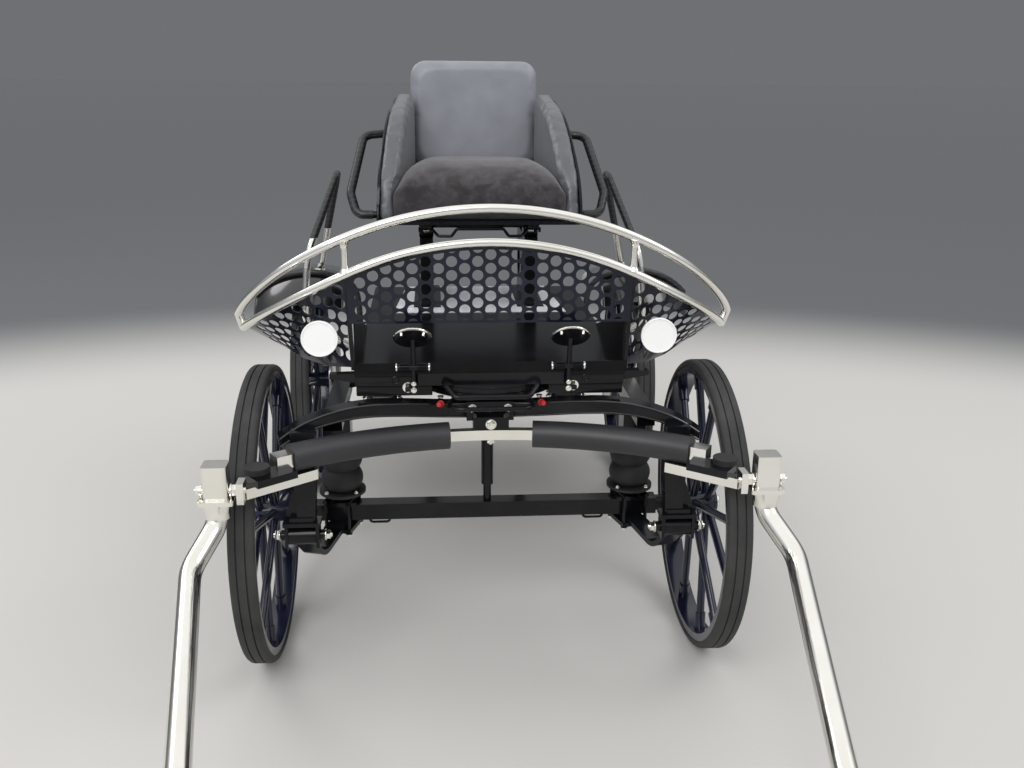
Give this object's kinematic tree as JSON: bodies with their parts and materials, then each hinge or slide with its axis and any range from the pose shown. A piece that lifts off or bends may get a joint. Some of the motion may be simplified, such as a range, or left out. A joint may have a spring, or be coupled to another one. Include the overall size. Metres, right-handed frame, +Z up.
{
  "type": "horse-drawn carriage",
  "caption": "Modern four-wheeled horse-drawn carriage with steel shafts, a turntable, spoked wheels, a curved dash, one padded seat and a rear groom's platform",
  "frame": {"origin": "on the ground, in the middle of the length from the shaft tips to the rear bumper, on the centreline", "axes": "+X to the carriage's side, -Y to the horse (front), +Z up"},
  "size_m": [1.526, 3.9997, 1.575],
  "materials": {
    "black_enamel": "gloss",
    "navy_enamel": "gloss",
    "navy_sheet": "gloss",
    "gloss_black_sheet": "gloss",
    "polished_steel": "polished",
    "bright_disc": "brushed",
    "grey_casting": "satin",
    "tyre_rubber": "matt",
    "black_rubber": "matt",
    "foam_sleeve": "satin",
    "taped_tube": "satin",
    "charcoal_cloth": "suede",
    "grey_leatherette": "sheen",
    "white_reflector": "gloss"
  },
  "bodies": {
    "chassis": {"upper_frame": "black_enamel", "turntable_top": "black_enamel", "footwell": "gloss_black_sheet", "seat_box": "gloss_black_sheet", "dash_panel": "navy_sheet", "dash_wings": "navy_sheet", "dash_rails": "polished_steel", "dash_struts": "black_enamel", "reflectors": "white_reflector", "pedals": "black_enamel", "brake_cylinders": "polished_steel", "seat_slide": "black_enamel", "seat_cushion": "charcoal_cloth", "seat_backrest": "grey_leatherette", "seat_shell": "black_enamel", "seat_side_pads": "grey_leatherette", "seat_grab_bars": "black_enamel", "hoops": "taped_tube", "fender_tubes": "taped_tube", "fender_sheets": "gloss_black_sheet", "rear_frame": "black_enamel", "platform": "gloss_black_sheet", "rear_axle": "black_enamel", "rear_leaf_arms": "black_enamel", "rear_axle_clamps": "black_enamel", "rear_bellows": "black_rubber", "brake_calipers": "grey_casting"},
    "fore_carriage": {"turntable_base": "black_enamel", "fore_frame": "black_enamel", "splinter_bar": "polished_steel", "splinter_sleeves": "foam_sleeve", "shaft_carriers": "polished_steel", "carrier_plates": "black_enamel", "buffer_discs": "black_rubber", "hanger_legs": "black_enamel", "front_axle": "black_enamel", "front_leaf_arms": "black_enamel", "front_axle_clamps": "black_enamel", "front_bellows": "black_rubber", "centre_damper": "black_enamel"},
    "front_left_wheel_body": {"front_left_wheel": "navy_enamel", "front_left_tyre": "tyre_rubber"},
    "rear_left_wheel_body": {"rear_left_wheel": "navy_enamel", "rear_left_tyre": "tyre_rubber", "rear_left_disc": "bright_disc"},
    "left_shaft_body": {"left_shaft": "polished_steel", "left_shaft_bracket": "polished_steel"},
    "front_right_wheel_body": {"front_right_wheel": "navy_enamel", "front_right_tyre": "tyre_rubber"},
    "rear_right_wheel_body": {"rear_right_wheel": "navy_enamel", "rear_right_tyre": "tyre_rubber", "rear_right_disc": "bright_disc"},
    "right_shaft_body": {"right_shaft": "polished_steel", "right_shaft_bracket": "polished_steel"}
  },
  "joints": [
    {"name": "steering", "type": "hinge", "parent": "chassis", "child": "fore_carriage", "pos_m": [0, 0.35, 0.79], "axis": [0, 0, 1], "range_deg": [-60, 60]},
    {"name": "front_left_wheel_spin", "type": "hinge", "parent": "fore_carriage", "child": "front_left_wheel_body", "pos_m": [-0.597, 0.35, 0.4], "axis": [1, 0, 0], "continuous": true},
    {"name": "rear_left_wheel_spin", "type": "hinge", "parent": "chassis", "child": "rear_left_wheel_body", "pos_m": [-0.61, 1.55, 0.4], "axis": [1, 0, 0], "continuous": true},
    {"name": "left_shaft_lift", "type": "hinge", "parent": "fore_carriage", "child": "left_shaft_body", "pos_m": [-0.631, -0.07, 0.645], "axis": [-1, 0, 0], "range_deg": [0, 75]},
    {"name": "front_right_wheel_spin", "type": "hinge", "parent": "fore_carriage", "child": "front_right_wheel_body", "pos_m": [0.597, 0.35, 0.4], "axis": [1, 0, 0], "continuous": true},
    {"name": "rear_right_wheel_spin", "type": "hinge", "parent": "chassis", "child": "rear_right_wheel_body", "pos_m": [0.61, 1.55, 0.4], "axis": [1, 0, 0], "continuous": true},
    {"name": "right_shaft_lift", "type": "hinge", "parent": "fore_carriage", "child": "right_shaft_body", "pos_m": [0.631, -0.07, 0.645], "axis": [-1, 0, 0], "range_deg": [0, 75]}
  ]
}
